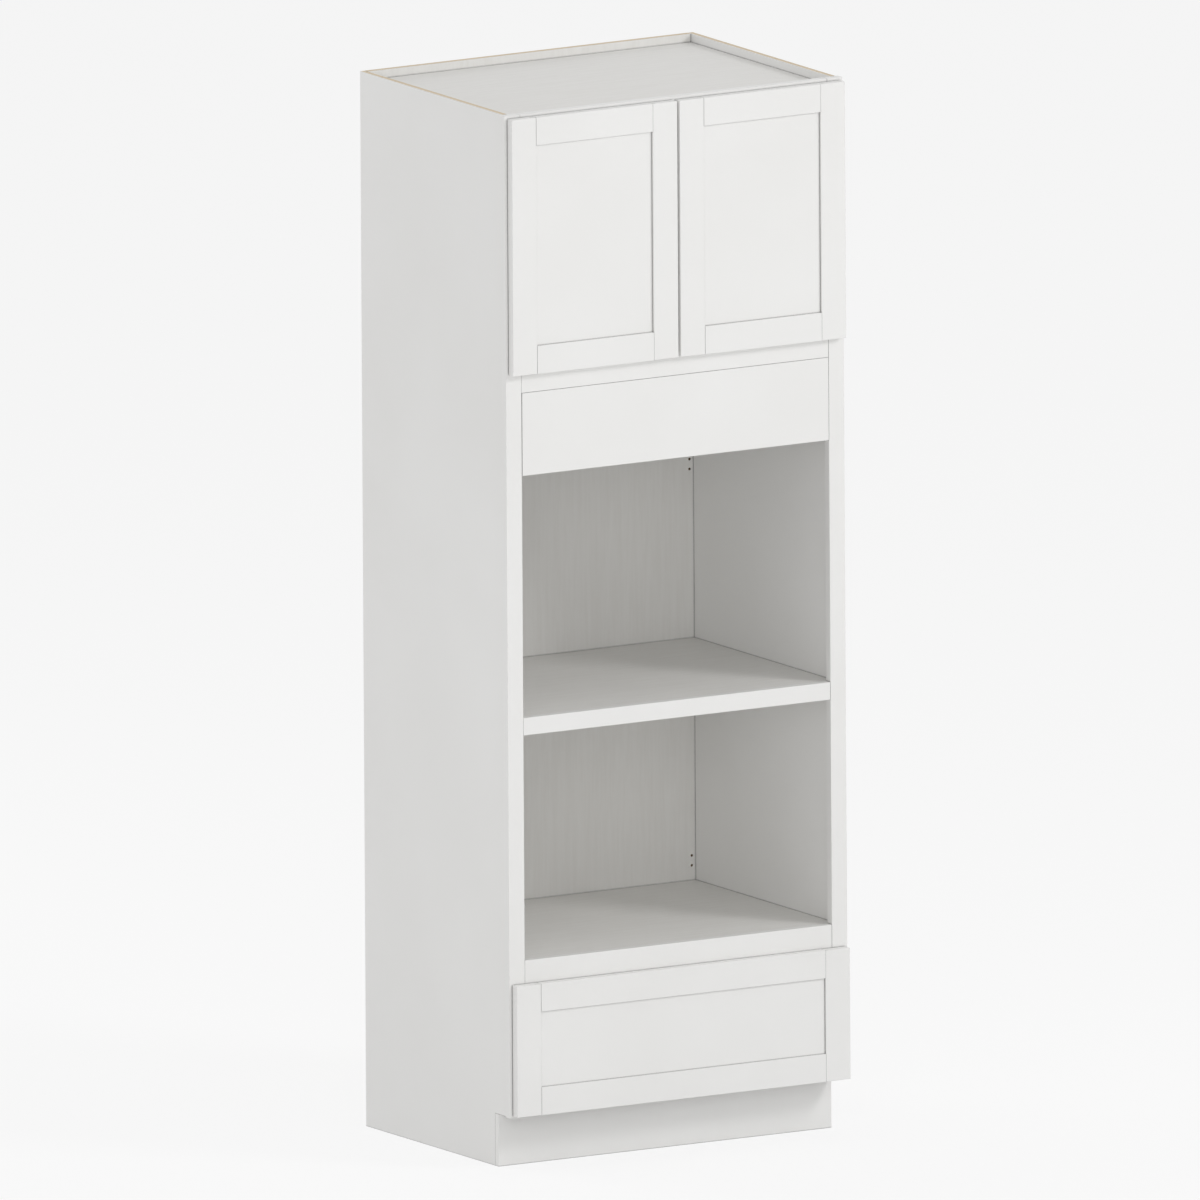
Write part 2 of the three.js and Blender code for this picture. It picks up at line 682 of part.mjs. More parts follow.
// Points on a rail's lip round a row of balls, in t and z. t runs from the drawer box outwards.
function lip([t, z], from, to) {
  return Array.from({ length: slideArcSteps + 1 }, (_, i) => {
    const angle = THREE.MathUtils.degToRad(from + ((to - from) * i) / slideArcSteps);
    return [t + raceRadius * Math.cos(angle), z + raceRadius * Math.sin(angle)];
  });
}

// Middle lines of the upper halves of the three rails, from the web to the lip. The outer rail curls
// over the first row of balls. The middle one passes under that row and over the second, and the
// inner one under the second.
const ballHeight = slideHeight / 2 - raceRadius - slideGauge / 2;
const outerWeb = slideThickness - touch - slideGauge / 2;
const middleWeb = outerWeb - slideGauge - slideWebGap;
const innerWeb = touch + slideGauge / 2;
const firstBalls = [outerWeb - raceRadius, ballHeight];
const secondBalls = [firstBalls[0] - 2 * raceRadius, ballHeight];
const underFirst = 360 - THREE.MathUtils.radToDeg(Math.acos((middleWeb - firstBalls[0]) / raceRadius));
const innerLip = lip(secondBalls, ...innerLipAngles);
const railLines = {
  outer: lip(firstBalls, 0, slideLipAngle),
  middle: [...lip(firstBalls, underFirst, 180), ...lip(secondBalls, 0, slideLipAngle).slice(1)],
  inner: [[innerWeb, innerLip[0][1] - innerLipRise], ...innerLip],
};

// A rail as long as the slide, from the middle line of its upper half.
function rail(hand, upperLine, length) {
  const at = (sign) => ([t, z]) => new THREE.Vector2(hand * (boxHalfWidth + t), slideLevel + sign * z);
  const line = [...upperLine.map(at(-1)).reverse(), ...upperLine.map(at(1))];
  return runBack(sheet(line, slideGauge), length);
}

// A screw slot through a rail's web, lying along the rail, with its middle at y.
function webSlot(hand, web, y) {
  const half = slideSlotLength / 2 - slideSlotRadius;
  const slot = roundEnded([y - half, slideLevel], [y + half, slideLevel], slideSlotRadius);
  const through = mirrored(hand, boxHalfWidth + web - slideGauge, boxHalfWidth + web + slideGauge);
  return runAcross(slot, through);
}

// One slide, and the rear bracket that ties its fixed rail to the back panel.
function addSlide(fixed, middle, drawer, side) {
  const hand = hands[side];
  const length = [slideSetback, slideBack];
  const halfway = (slideSetback + slideBack) / 2;
  const slotPlaces = [slideSlotInset, halfway, slideBack - slideSlotInset];
  let outer = rail(hand, railLines.outer, length).add(slideSocket(hand, outerWeb + slideGauge / 2));
  let inner = rail(hand, railLines.inner, length);
  for (const y of slotPlaces) {
    outer = outer.subtract(webSlot(hand, outerWeb, y));
    inner = inner.subtract(webSlot(hand, innerWeb, y));
  }
  addSolid(fixed, `slide_${side}_outer`, steel, outer);
  addSolid(middle, `slide_${side}_middle`, steel, rail(hand, railLines.middle, length));
  addSolid(drawer, `slide_${side}_inner`, steel, inner);
}

// The bracket: an arm on from the outer rail's web, and a foot with two screw holes on the back panel.
function slideSocket(hand, webFace) {
  const faceX = boxHalfWidth + webFace;
  const rear = backFront - touch;
  const heights = [slideLevel - socketHeight / 2, slideLevel + socketHeight / 2];
  const arm = block(mirrored(hand, faceX - slideGauge, faceX), [slideBack - past, rear], heights);
  const foot = block(mirrored(hand, faceX - slideGauge, faceX + socketFootWidth),
    [rear - slideGauge, rear], heights);
  return arm.add(foot).subtract(pilotHoles(hand, slideLevel, [rear - slideGauge - past, rear + past]));
}

// ---------------------------------------------------------------- shelf

const shelfHole = Math.floor(pinHoleCount / 2);
const shelfUnderside = pinHoleLevels()[shelfHole] + pinTabThickness / 2 + touch;

function addShelf(group) {
  const end = sideInner - shelfEndGap;
  addBoard(group, 'adjustable_shelf', lining, [-end, end],
    [caseFront + shelfSetback, boardBack - shelfSetback],
    [shelfUnderside, shelfUnderside + shelfThickness]);
}

// A shelf pin: a shank in the side panel's hole, a collar and a flat tab under the shelf.
function addShelfPin(group, name, hand, y) {
  const level = pinHoleLevels()[shelfHole];
  const shank = mirrored(hand, sideInner - touch, sideInner + pinHoleDepth - touch);
  const collar = mirrored(hand, sideInner - touch - pinCollarThickness, sideInner - touch);
  const tab = mirrored(hand, sideInner - touch - pinTabLength, sideInner - touch);
  const shankRadius = pinHoleRadius - touch;
  const pin = bar('x', shankRadius, shank, [0, y, level], smallRoundSides)
    .add(bar('x', pinCollarRadius, collar, [0, y, level - pinCollarRadius + pinTabThickness / 2]))
    .add(block(tab, [y - pinTabWidth / 2, y + pinTabWidth / 2],
      [level - pinTabThickness / 2, level + pinTabThickness / 2]));
  addSolid(group, name, steel, pin);
}

function addShelfPins(group) {
  for (const [side, hand] of Object.entries(hands)) {
    addShelfPin(group, `shelf_pin_${side}_front`, hand, pinRows[0]);
    addShelfPin(group, `shelf_pin_${side}_rear`, hand, pinRows[1]);
  }
}

// ---------------------------------------------------------------- assembly

const carcass = new THREE.Group();
for (const [side, hand] of Object.entries(hands)) addSidePanel(carcass, `side_panel_${side}`, hand);
addBackPanel(carcass);
addLevelBoards(carcass);
addToeKick(carcass);
addFaceFrame(carcass);
addFiller(carcass);
addShelf(carcass);
addShelfPins(carcass);

const doorGroups = Object.keys(hands).map((side) => {
  const door = new THREE.Group();
  const links = new THREE.Group();
  addDoor(door, side);
  addHinges(carcass, links, door, side);
  return [door, links];
});

const drawer = new THREE.Group();
const slideMiddles = new THREE.Group();
addFramedFront(drawer, 'drawer_front', [-doorEdge, doorEdge], [drawerFrontBottom, drawerFrontTop],
  drawerPanelRecess);
addDrawerBox(drawer);
for (const side of Object.keys(hands)) addSlide(carcass, slideMiddles, drawer, side);

// The origin is on the floor, under the middle of the whole cabinet, doors included.
const cabinet = new THREE.Group();
cabinet.add(carcass, drawer, slideMiddles, ...doorGroups.flat());
cabinet.position.y = -(frontsFace + cabinetDepth) / 2;

export default cabinet;
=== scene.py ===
"""The looks of a tall oven and microwave cabinet: painted boards with eased edges, coated case
boards, a birch drawer box, plated slides and hinges, their screws, and the soft light of a studio."""

import json
import math

import bmesh
import bpy
from mathutils import Matrix, Vector


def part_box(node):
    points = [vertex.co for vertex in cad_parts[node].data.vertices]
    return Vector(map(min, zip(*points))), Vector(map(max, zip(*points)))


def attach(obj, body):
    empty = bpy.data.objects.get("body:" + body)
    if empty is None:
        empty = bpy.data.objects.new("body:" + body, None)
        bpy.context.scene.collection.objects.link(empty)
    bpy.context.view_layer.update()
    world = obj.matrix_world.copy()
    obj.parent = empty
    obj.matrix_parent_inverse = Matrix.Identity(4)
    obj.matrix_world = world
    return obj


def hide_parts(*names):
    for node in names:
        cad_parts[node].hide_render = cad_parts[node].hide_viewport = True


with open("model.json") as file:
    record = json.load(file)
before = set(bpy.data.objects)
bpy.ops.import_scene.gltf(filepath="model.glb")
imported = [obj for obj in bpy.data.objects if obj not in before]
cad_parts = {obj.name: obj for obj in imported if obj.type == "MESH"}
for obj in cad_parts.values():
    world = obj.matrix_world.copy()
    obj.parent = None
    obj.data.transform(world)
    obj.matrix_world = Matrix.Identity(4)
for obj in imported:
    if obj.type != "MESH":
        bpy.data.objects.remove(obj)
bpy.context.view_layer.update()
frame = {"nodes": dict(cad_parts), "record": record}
MM = 0.001

# ------------------------------------------------------------------ places taken from the frame

NODES = frame["nodes"]
BODY_OF = {n: body for body, names in frame["record"]["behaviour"]["bodies"].items() for n in names}
SLOT_OF = {s["node"]: s["material_slot"] for s in frame["record"]["subparts"]}
FRAME_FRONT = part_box("frame_stile_left")[0].y
SIDES = {"left": -1, "right": 1}
HINGES = [f"{side}_{level}" for side in SIDES for level in ("lower", "upper")]

# ------------------------------------------------------------------ camera

IMAGE = 1200  # the photograph's width and height in pixels
PIXELS_PER_MM = 0.469765
YAW, PITCH, ROLL = (math.radians(a) for a in (30.811, 10.771, -0.334))
AIM = Vector((0, 300 * MM + FRAME_FRONT, 1143 * MM))
AIM_SHIFT = (-8.88 * MM, 4.11 * MM)  # of the picture's middle from AIM, to the right and up
CAMERA_DISTANCE = 7.0
CAMERA_REACH = 100  # far enough for all of the floor in view


def add_camera():
    """The drawing's parallel projection: the turn to the side, the look down and a slight roll."""
    ahead = Vector((math.sin(YAW) * math.cos(PITCH), math.cos(YAW) * math.cos(PITCH), -math.sin(PITCH)))
    level_right = Vector((math.cos(YAW), -math.sin(YAW), 0))
    level_up = level_right.cross(ahead)
    right = level_right * math.cos(ROLL) + level_up * math.sin(ROLL)
    up = level_up * math.cos(ROLL) - level_right * math.sin(ROLL)
    camera = bpy.data.objects.new("camera", bpy.data.cameras.new("camera"))
    camera.data.type = "ORTHO"
    camera.data.ortho_scale = IMAGE / PIXELS_PER_MM * MM
    camera.data.clip_end = CAMERA_REACH
    place = AIM + right * AIM_SHIFT[0] + up * AIM_SHIFT[1] - ahead * CAMERA_DISTANCE
    turn = Matrix((right, up, -ahead)).transposed().to_4x4()
    camera.matrix_world = Matrix.Translation(place) @ turn
    bpy.context.scene.collection.objects.link(camera)
    bpy.context.scene.camera = camera


# ------------------------------------------------------------------ materials

# Painted shade: an ambient occlusion node darkens the base colour of paint and lining in gaps and inner
# corners
CREVICE_SHADE_SAMPLES = 6
SHUT_IN, OPEN_AIR = 0.4, 0.95  # the open shares at which the painted shade darkens a surface fully and not at all


class Shader:
    """A material's node tree, with short calls for the nodes that the finishes use."""

    def __init__(self, name):
        self.material = bpy.data.materials.new(name)
        self.material.use_nodes = True
        self.nodes = self.material.node_tree.nodes
        self.links = self.material.node_tree.links
        self.surface = self.nodes["Principled BSDF"]
        self.place = self.nodes.new("ShaderNodeTexCoord").outputs["Object"]

    def link(self, source, target):
        self.links.new(source, target)

    def stretched(self, scale):
        """The place on the object, with each axis scaled."""
        mapping = self.nodes.new("ShaderNodeMapping")
        mapping.inputs["Scale"].default_value = scale
        self.link(self.place, mapping.inputs["Vector"])
        return mapping.outputs["Vector"]

    def noise(self, scale, detail=3.0, stretch=(1, 1, 1), roughness=0.5, distortion=0.0):
        node = self.nodes.new("ShaderNodeTexNoise")
        node.inputs["Scale"].default_value = scale
        node.inputs["Detail"].default_value = detail
        node.inputs["Roughness"].default_value = roughness
        node.inputs["Distortion"].default_value = distortion
        self.link(self.stretched(stretch), node.inputs["Vector"])
        return node.outputs["Fac"]

    def spread(self, source, low, high, from_low=0.25, from_high=0.75):
        """A value's range from_low to from_high, spread over low to high."""
        node = self.nodes.new("ShaderNodeMapRange")
        node.inputs["From Min"].default_value = from_low
        node.inputs["From Max"].default_value = from_high
        node.inputs["To Min"].default_value = low
        node.inputs["To Max"].default_value = high
        self.link(source, node.inputs["Value"])
        return node.outputs["Result"]

    def blend(self, factor, dark, light):
        """A colour from dark, at a factor of 0, to light, at 1."""
        node = self.nodes.new("ShaderNodeMix")
        node.data_type = "RGBA"
        node.inputs["A"].default_value = (*dark, 1)
        node.inputs["B"].default_value = (*light, 1)
        self.link(factor, node.inputs["Factor"])
        return node.outputs["Result"]

    def darken(self, colour, factor, most):
        """The colour, made darker where the factor is high, by a share of at most this much."""
        node = self.nodes.new("ShaderNodeHueSaturation")
        self.link(colour, node.inputs["Color"])
        self.link(self.spread(factor, 1, 1 - most, 0, 1), node.inputs["Value"])
        return node.outputs["Color"]

    def painted_crevice_shade(self, colour, reach, most):
        """The colour with painted shade in gaps and inner corners within this reach: darker where ambient
        occlusion finds other surfaces near.
        """
        node = self.nodes.new("ShaderNodeAmbientOcclusion")
        node.samples = CREVICE_SHADE_SAMPLES
        node.inputs["Distance"].default_value = reach
        painted_shade_share = self.spread(node.outputs["AO"], 1, 0, SHUT_IN, OPEN_AIR)
        return self.darken(colour, painted_shade_share, most)

    def bump(self, height, strength, distance, under=None):
        """The normals of a surface raised by the height, over those of the one under it."""
        node = self.nodes.new("ShaderNodeBump")
        node.inputs["Strength"].default_value = strength
        node.inputs["Distance"].default_value = distance
        self.link(height, node.inputs["Height"])
        if under is not None:
            self.link(under, node.inputs["Normal"])
        return node.outputs["Normal"]

    def set(self, name, value):
        """Gives the surface one plain value."""
        self.surface.inputs[name].default_value = value

    def feed(self, name, source):
        """Gives the surface a value that varies over it."""
        self.link(source, self.surface.inputs[name])


# The direction that a board's grain runs in, as how much the noise is squeezed along each axis
GRAINS = {"x": (0.06, 1, 1), "y": (1, 0.06, 1), "z": (1, 1, 0.06)}
PAINT_SHADE_REACH = 3 * MM  # how far from a gap or an inner corner the paint gets painted shade
# how far from a gap or an inner corner the lining gets painted shade
LINING_SHADE_REACH = 4 * MM


def paint(grain):
    """Sprayed satin paint: fine orange peel over the faint rise of the wood's grain, with painted shade in
    gaps and inner corners.
    """
    s = Shader(f"paint_grain_{grain}")
    cloud = s.noise(3.0, 2.0)
    white = s.blend(s.spread(cloud, 0, 1), (0.835, 0.83, 0.815), (0.865, 0.862, 0.85))
    # painted shade: the base colour is darker in gaps and inner corners, by ambient occlusion
    s.feed("Base Color", s.painted_crevice_shade(white, PAINT_SHADE_REACH, 0.6))
    s.feed("Roughness", s.spread(s.noise(140, 2.0), 0.36, 0.46))
    rise = s.bump(s.noise(260, 4.0, GRAINS[grain]), 0.16, 0.0004)
    s.feed("Normal", s.bump(s.noise(900, 2.0), 0.10, 0.0002, rise))
    s.set("Specular IOR Level", 0.45)
    return s.material


def lining(grain):
    """The case boards' coated faces: flatter than paint, with a faint long fleck and painted shade in gaps
    and inner corners.
    """
    s = Shader(f"lining_grain_{grain}")
    fleck = s.noise(120, 5.0, GRAINS[grain], 0.6)
    white = s.blend(s.spread(fleck, 0, 1, 0.35, 0.65), (0.80, 0.79, 0.765), (0.83, 0.822, 0.80))
    # painted shade: the base colour is darker in gaps and inner corners, by ambient occlusion
    s.feed("Base Color", s.painted_crevice_shade(white, LINING_SHADE_REACH, 0.5))
    s.feed("Roughness", s.spread(s.noise(60, 3.0), 0.44, 0.56))
    s.feed("Normal", s.bump(fleck, 0.12, 0.0003))
    s.set("Specular IOR Level", 0.4)
    return s.material


def birch(grain):
    """Lacquered birch: long grain bands, fine dark pores and a slow change of colour."""
    s = Shader(f"birch_grain_{grain}")
    bands = s.noise(34, 6.0, GRAINS[grain], 0.62, 0.6)
    pores = s.spread(s.noise(620, 4.0, GRAINS[grain], 0.7), 0, 1, 0.5, 0.68)
    wood = s.blend(s.spread(bands, 0, 1, 0.3, 0.7), (0.64, 0.49, 0.31), (0.79, 0.66, 0.47))
    s.feed("Base Color", s.darken(wood, pores, 0.22))
    s.feed("Roughness", s.spread(pores, 0.40, 0.55, 0, 1))
    s.feed("Normal", s.bump(pores, -0.2, 0.0003, s.bump(bands, 0.08, 0.0006)))
    return s.material


def plated(name, dark, light, rough):
    """Plated steel: fine rolling marks and a slightly uneven sheen."""
    s = Shader(name)
    marks = s.noise(700, 3.0, (1, 0.08, 1))
    s.feed("Base Color", s.blend(s.spread(s.noise(25, 3.0), 0, 1), dark, light))
    s.feed("Roughness", s.spread(marks, *rough))
    s.feed("Normal", s.bump(marks, 0.06, 0.0001))
    s.set("Metallic", 1.0)
    return s.material


def plastic(name, dark, light, rough):
    """Moulded plastic, with a slow change of tone and a fine texture."""
    s = Shader(name)
    s.feed("Base Color", s.blend(s.spread(s.noise(200, 2.0), 0, 1), dark, light))
    s.feed("Roughness", s.spread(s.noise(400, 2.0), *rough))
    s.feed("Normal", s.bump(s.noise(1500, 2.0), 0.1, 0.0001))
    return s.material


PLY_SQUEEZE = {"x": (1, 0.02, 0.02), "y": (0.02, 1, 0.02)}  # by the axis across the plies
PLY_BANDS = 112  # of the wave texture, which makes each ply 1.4 mm thick


def ply_edge(across):
    """The sanded edge of a plywood board: long-grain plies between darker end-grain ones."""
    s = Shader(f"ply_edge_{across}")
    bands = s.nodes.new("ShaderNodeTexWave")
    bands.bands_direction = across.upper()
    bands.inputs["Scale"].default_value = PLY_BANDS
    bands.inputs["Distortion"].default_value = 0.6
    s.link(s.stretched(PLY_SQUEEZE[across]), bands.inputs["Vector"])
    plies = s.spread(bands.outputs["Fac"], 0, 1, 0.35, 0.65)
    s.feed("Base Color", s.blend(plies, (0.60, 0.47, 0.31), (0.80, 0.70, 0.54)))
    s.feed("Roughness", s.spread(s.noise(300, 3.0), 0.6, 0.75))
    s.feed("Normal", s.bump(plies, 0.2, 0.0003))
    return s.material


def bore_wood_and_painted_shade():
    """Raw wood in the wall of a drilled hole, painted much darker than the raw ply edges: painted shade
    inside the hole.
    """
    s = Shader("bore_wood_and_painted_shade")
    s.feed("Base Color", s.blend(s.noise(400, 3.0), (0.16, 0.11, 0.07), (0.30, 0.21, 0.13)))
    s.feed("Roughness", s.spread(s.noise(500, 3.0), 0.8, 0.95))
    return s.material


FINISHES = {
    "paint": {g: paint(g) for g in GRAINS},
    "lining": {g: lining(g) for g in GRAINS},
    "drawer_wood": {g: birch(g) for g in GRAINS},
}
NICKEL = plated("hinge_nickel", (0.60, 0.585, 0.56), (0.72, 0.705, 0.68), (0.20, 0.34))
ZINC = plated("slide_zinc", (0.56, 0.57, 0.59), (0.68, 0.69, 0.71), (0.28, 0.44))
BUMPER = plastic("bumper_plastic", (0.70, 0.71, 0.71), (0.78, 0.79, 0.79), (0.25, 0.4))
LEVER = plastic("lever_plastic", (0.030, 0.030, 0.032), (0.045, 0.045, 0.047), (0.4, 0.55))
SCREW = plated("screw_zinc", (0.62, 0.62, 0.60), (0.74, 0.74, 0.72), (0.22, 0.36))
BALL = plated("ball_steel", (0.70, 0.70, 0.70), (0.80, 0.80, 0.80), (0.10, 0.18))
# the holes' walls: raw wood darkened as painted shade inside the holes
BORE_WOOD_AND_SHADE = bore_wood_and_painted_shade()

# ------------------------------------------------------------------ pieces


SMOOTH_ANGLE = math.radians(35)  # a corner sharper than this shows as an edge
LARGE_FACES_FIRST = 100  # the weight that lets a flat face set the shading at its rim


def add_piece(name, bm, material, body):
    """A finished mesh that rides on a body, flat on its faces and smooth round its small edges."""
    bm.normal_update()
    mesh = bpy.data.meshes.new(name)
    bm.to_mesh(mesh)
    bm.free()
    mesh.materials.append(material)
    mesh.shade_smooth()
    mesh.set_sharp_from_angle(angle=SMOOTH_ANGLE)
    piece = bpy.data.objects.new(name, mesh)
    bpy.context.scene.collection.objects.link(piece)
    flat_faces = piece.modifiers.new("flat_faces", "WEIGHTED_NORMAL")
    flat_faces.weight = LARGE_FACES_FIRST
    flat_faces.keep_sharp = True
    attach(piece, body)
    return piece


WELD = 0.002 * MM
FLAT_ANGLE = math.radians(1)  # faces that meet at less are made one
EASED_ANGLE = math.radians(40)  # edges that turn by more are eased
SHORT_EDGES = 4  # an edge shorter than this many times the easing stays sharp, as round a hole


def eased_copy(node, width, segments=2):
    """A CAD node's own solid with its faces made whole and its edges eased."""
    bm = bmesh.new()
    bm.from_mesh(NODES[node].data)
    bmesh.ops.remove_doubles(bm, verts=bm.verts, dist=WELD)
    bmesh.ops.dissolve_limit(bm, angle_limit=FLAT_ANGLE, verts=bm.verts, edges=bm.edges)
    sharp = [
        e for e in bm.edges
        if e.is_manifold and e.calc_face_angle(0) > EASED_ANGLE and e.calc_length() > SHORT_EDGES * width
    ]
    bmesh.ops.bevel(bm, geom=sharp, offset=width, segments=segments, profile=0.5,
                    affect="EDGES", clamp_overlap=True)
    bmesh.ops.remove_doubles(bm, verts=bm.verts, dist=WELD)
    bmesh.ops.dissolve_degenerate(bm, dist=WELD, edges=bm.edges)
    return bm


def long_axis(node):
    """The letter of the axis that a board is longest along, which its grain follows."""
    low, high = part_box(node)
    size = high - low
    return "xyz"[max(range(3), key=lambda k: size[k])]


BOARD_EASE = {"paint": 1.1 * MM, "lining": 0.3 * MM, "drawer_wood": 1.2 * MM}
BORED = {"back_panel": "y", "side_panel_left": "x", "side_panel_right": "x"}  # and the holes' axis
HOLE_FACE = 60 * MM**2  # a hole's wall has smaller faces than any edge of the board
SQUARE_ON = 0.95  # a face points along an axis when its normal's share there is over this
EDGE_FINISH, HOLE_FINISH = 1, 2  # the materials' places on a bored board, after its coating's


def finish_ply(piece, node):
    """Gives a bored plywood board its raw edges at the top and the wall side, and its holes' walls,
    darkened as painted shade.
    """
    through = BORED[node]
    for material in (ply_edge(through), BORE_WOOD_AND_SHADE):
        piece.data.materials.append(material)
    axis = "xyz".index(through)
    for face in piece.data.polygons:
        if abs(face.normal[axis]) > 1 - SQUARE_ON:
            continue
        if face.area < HOLE_FACE:
            face.material_index = HOLE_FINISH
        elif face.normal.z > SQUARE_ON or (through == "x" and face.normal.y > SQUARE_ON):
            face.material_index = EDGE_FINISH


def dress_boards():
    """Every painted, coated or birch board gets eased edges and the finish of its own grain."""
    for node, slot in SLOT_OF.items():
        if slot in FINISHES:
            material = FINISHES[slot][long_axis(node)]
            bm = eased_copy(node, BOARD_EASE[slot])
            piece = add_piece(f"{node}_board", bm, material, BODY_OF[node])
            if node in BORED:
                finish_ply(piece, node)
            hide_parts(node)


METALS = {"hinge_steel": NICKEL, "slide_steel": ZINC}
METAL_EASE = 0.25 * MM


def dress_metal():
    """Hinges, slides and shelf pins, with the small radii of pressed and cast metal."""
    for node, slot in SLOT_OF.items():
        if slot in METALS:
            bm = eased_copy(node, METAL_EASE, 1)
            piece = add_piece(f"{node}_metal", bm, METALS[slot], BODY_OF[node])
            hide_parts(node)


# ------------------------------------------------------------------ screws, bumpers and balls


def facing(place, out):
    """The place of a small part whose own +Z points out."""
    turn = Vector((0, 0, 1)).rotation_difference(Vector(out)).to_matrix().to_4x4()
    return Matrix.Translation(place) @ turn


def ring(bm, radius, height, sides, at):
    """A ring of corners round the part's own Z."""
    angles = (2 * math.pi * i / sides for i in range(sides))
    return [bm.verts.new(at @ Vector((radius * math.cos(a), radius * math.sin(a), height))) for a in angles]


def join_rings(bm, lower, upper):
    """The band of faces between two rings of as many corners."""
    for i in range(len(lower)):
        j = (i + 1) % len(lower)
        bm.faces.new((lower[i], lower[j], upper[j], upper[i]))


TURNED_SIDES = 20


def turned(bm, profile, at):
    """A turned shape from its rings' radii and heights, closed at the first. Gives back the last ring."""
    rings = [ring(bm, radius, height, TURNED_SIDES, at) for radius, height in profile]
    bm.faces.new(reversed(rings[0]))
    for lower, upper in zip(rings, rings[1:]):
        join_rings(bm, lower, upper)
    return rings[-1]


def ribbon(line, widths):
    """The outline of a band along a line of points, with its width at each point."""
    along = [(b - a).normalized() for a, b in zip(line, line[1:])]
    left, right = [], []
    for i, point in enumerate(line):
        before, after = along[max(i - 1, 0)], along[min(i, len(along) - 1)]
        middle = (before + after).normalized()
        sideways = Vector((-middle.y, middle.x)) * widths[i] / 2 / middle.dot(before)
        left.append(point + sideways)
        right.append(point - sideways)
    return left + right[::-1]


def prism(bm, outline, *places):
    """The solid between two copies of an outline, which the two functions put in place."""
    ends = [[bm.verts.new(place(p)) for p in outline] for place in places]
    join_rings(bm, *ends)
    return [bm.faces.new(end) for end in ends]


def add_small_parts(name, bm, material, body):
    """A piece made by hand, whose faces are first turned to point out."""
    bmesh.ops.recalc_face_normals(bm, faces=bm.faces)
    return add_piece(name, bm, material, body)


SCREWS = {  # the head's radius and height, and the shank's length
    "cup": (3.1 * MM, 0.4 * MM, 6 * MM),
    "plate": (3.4 * MM, 1.7 * MM, 12 * MM),
    "inner_rail": (3.2 * MM, 1.4 * MM, 9 * MM),
    "outer_rail": (3.0 * MM, 0.35 * MM, 12 * MM),
    "bracket": (4.5 * MM, 1.8 * MM, 10 * MM),
    "drawer_front": (5.0 * MM, 1.8 * MM, 25 * MM),
}
SHANK_SHARE = 0.5  # of the head's radius
HEAD_RINGS = ((1, 0), (1, 0.35), (0.86, 0.8), (0.62, 1))  # shares of the head's radius and height
CROSS_REACH, CROSS_WIDTH, CROSS_DEPTH = 0.46, 0.2, 0.5  # shares of the head's radius
CROSS_TAPER = 0.7  # of the recess from its mouth to its floor


def cross(bm, reach, half, height, at):
    """The twelve corners of a cross recess."""
    verts = []
    for quarter in range(4):
        turn = Matrix.Rotation(quarter * math.pi / 2, 4, "Z")
        for x, y in ((-half, -reach), (half, -reach), (half, -half)):
            verts.append(bm.verts.new(at @ turn @ Vector((x, y, height))))
    return verts


def loop_edges(bm, verts):
    """The edges round a loop of corners, new where there are none."""
    return [bm.edges.get(pair) or bm.edges.new(pair) for pair in zip(verts, verts[1:] + verts[:1])]


def add_screw(bm, kind, at):
    """A screw with a low domed head and a cross recess. Its head lies on the surface at its place."""
    radius, height, length = SCREWS[kind]
    shank = SHANK_SHARE * radius
    head = [(share * radius, rise * height) for share, rise in HEAD_RINGS]
    top = turned(bm, [(shank, -length), (shank, 0), *head], at)
    reach, half = CROSS_REACH * radius, CROSS_WIDTH * radius / 2
    mouth = cross(bm, reach, half, height, at)
    floor = cross(bm, CROSS_TAPER * reach, half, height - CROSS_DEPTH * radius, at)
    bmesh.ops.triangle_fill(bm, edges=loop_edges(bm, top) + loop_edges(bm, mouth), use_beauty=True)
    join_rings(bm, floor, mouth)
    bm.faces.new(floor)


def screws(name, kind, places, out, body):
    """Screws of one kind that share a piece, with their heads on these places and pointing out."""
    bm = bmesh.new()
    for place in places:
        add_screw(bm, kind, facing(place, out))
    add_small_parts(name, bm, SCREW, body)


CUP_SCREW_SPACING = 45 * MM
CUP_SCREW_OFFSET = 9.5 * MM  # of the wings' screws from the cup's middle, away from the door's edge
PLATE_SCREW_SPACING = 34 * MM
PLATE_THICKNESS = 2 * MM


def add_hinge_screws():
    """Flat screws in each cup's wings, which clear the frame, and round ones in each base plate."""
    for name in HINGES:
        side = name.split("_")[0]
        hand = SIDES[side]
        low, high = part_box(f"{name}_hinge_cup")
        middle = (low + high) / 2
        x = middle.x - hand * CUP_SCREW_OFFSET
        wings = [Vector((x, high.y, middle.z + end * CUP_SCREW_SPACING / 2)) for end in (-1, 1)]
        screws(f"{name}_hinge_cup_screws", "cup", wings, (0, 1, 0), f"{side}_door")
        low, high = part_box(f"{name}_hinge_base")
        middle = (low + high) / 2
        face = (high.x if hand > 0 else low.x) - hand * PLATE_THICKNESS
        plate = [Vector((face, middle.y, middle.z + end * PLATE_SCREW_SPACING / 2)) for end in (-1, 1)]
        screws(f"{name}_hinge_base_screws", "plate", plate, (-hand, 0, 0), "cabinet")


BUMPER_RADIUS = 4.5 * MM
BUMPER_HEIGHT = 1.3 * MM
BUMPER_RINGS = ((0.94, 0), (1, 0.25), (0.97, 0.5), (0.86, 0.78), (0.62, 0.95), (0.2, 1))  # shares of both
BUMPER_INSET = 14 * MM


def bumpers(name, places, body):
    """Self-adhesive domes on the back of a door or drawer front, where it meets the frame."""
    bm = bmesh.new()
    rings = [(share * BUMPER_RADIUS, rise * BUMPER_HEIGHT) for share, rise in BUMPER_RINGS]
    for place in places:
        bm.faces.new(turned(bm, rings, facing(place, (0, 1, 0))))
    add_small_parts(name, bm, BUMPER, body)


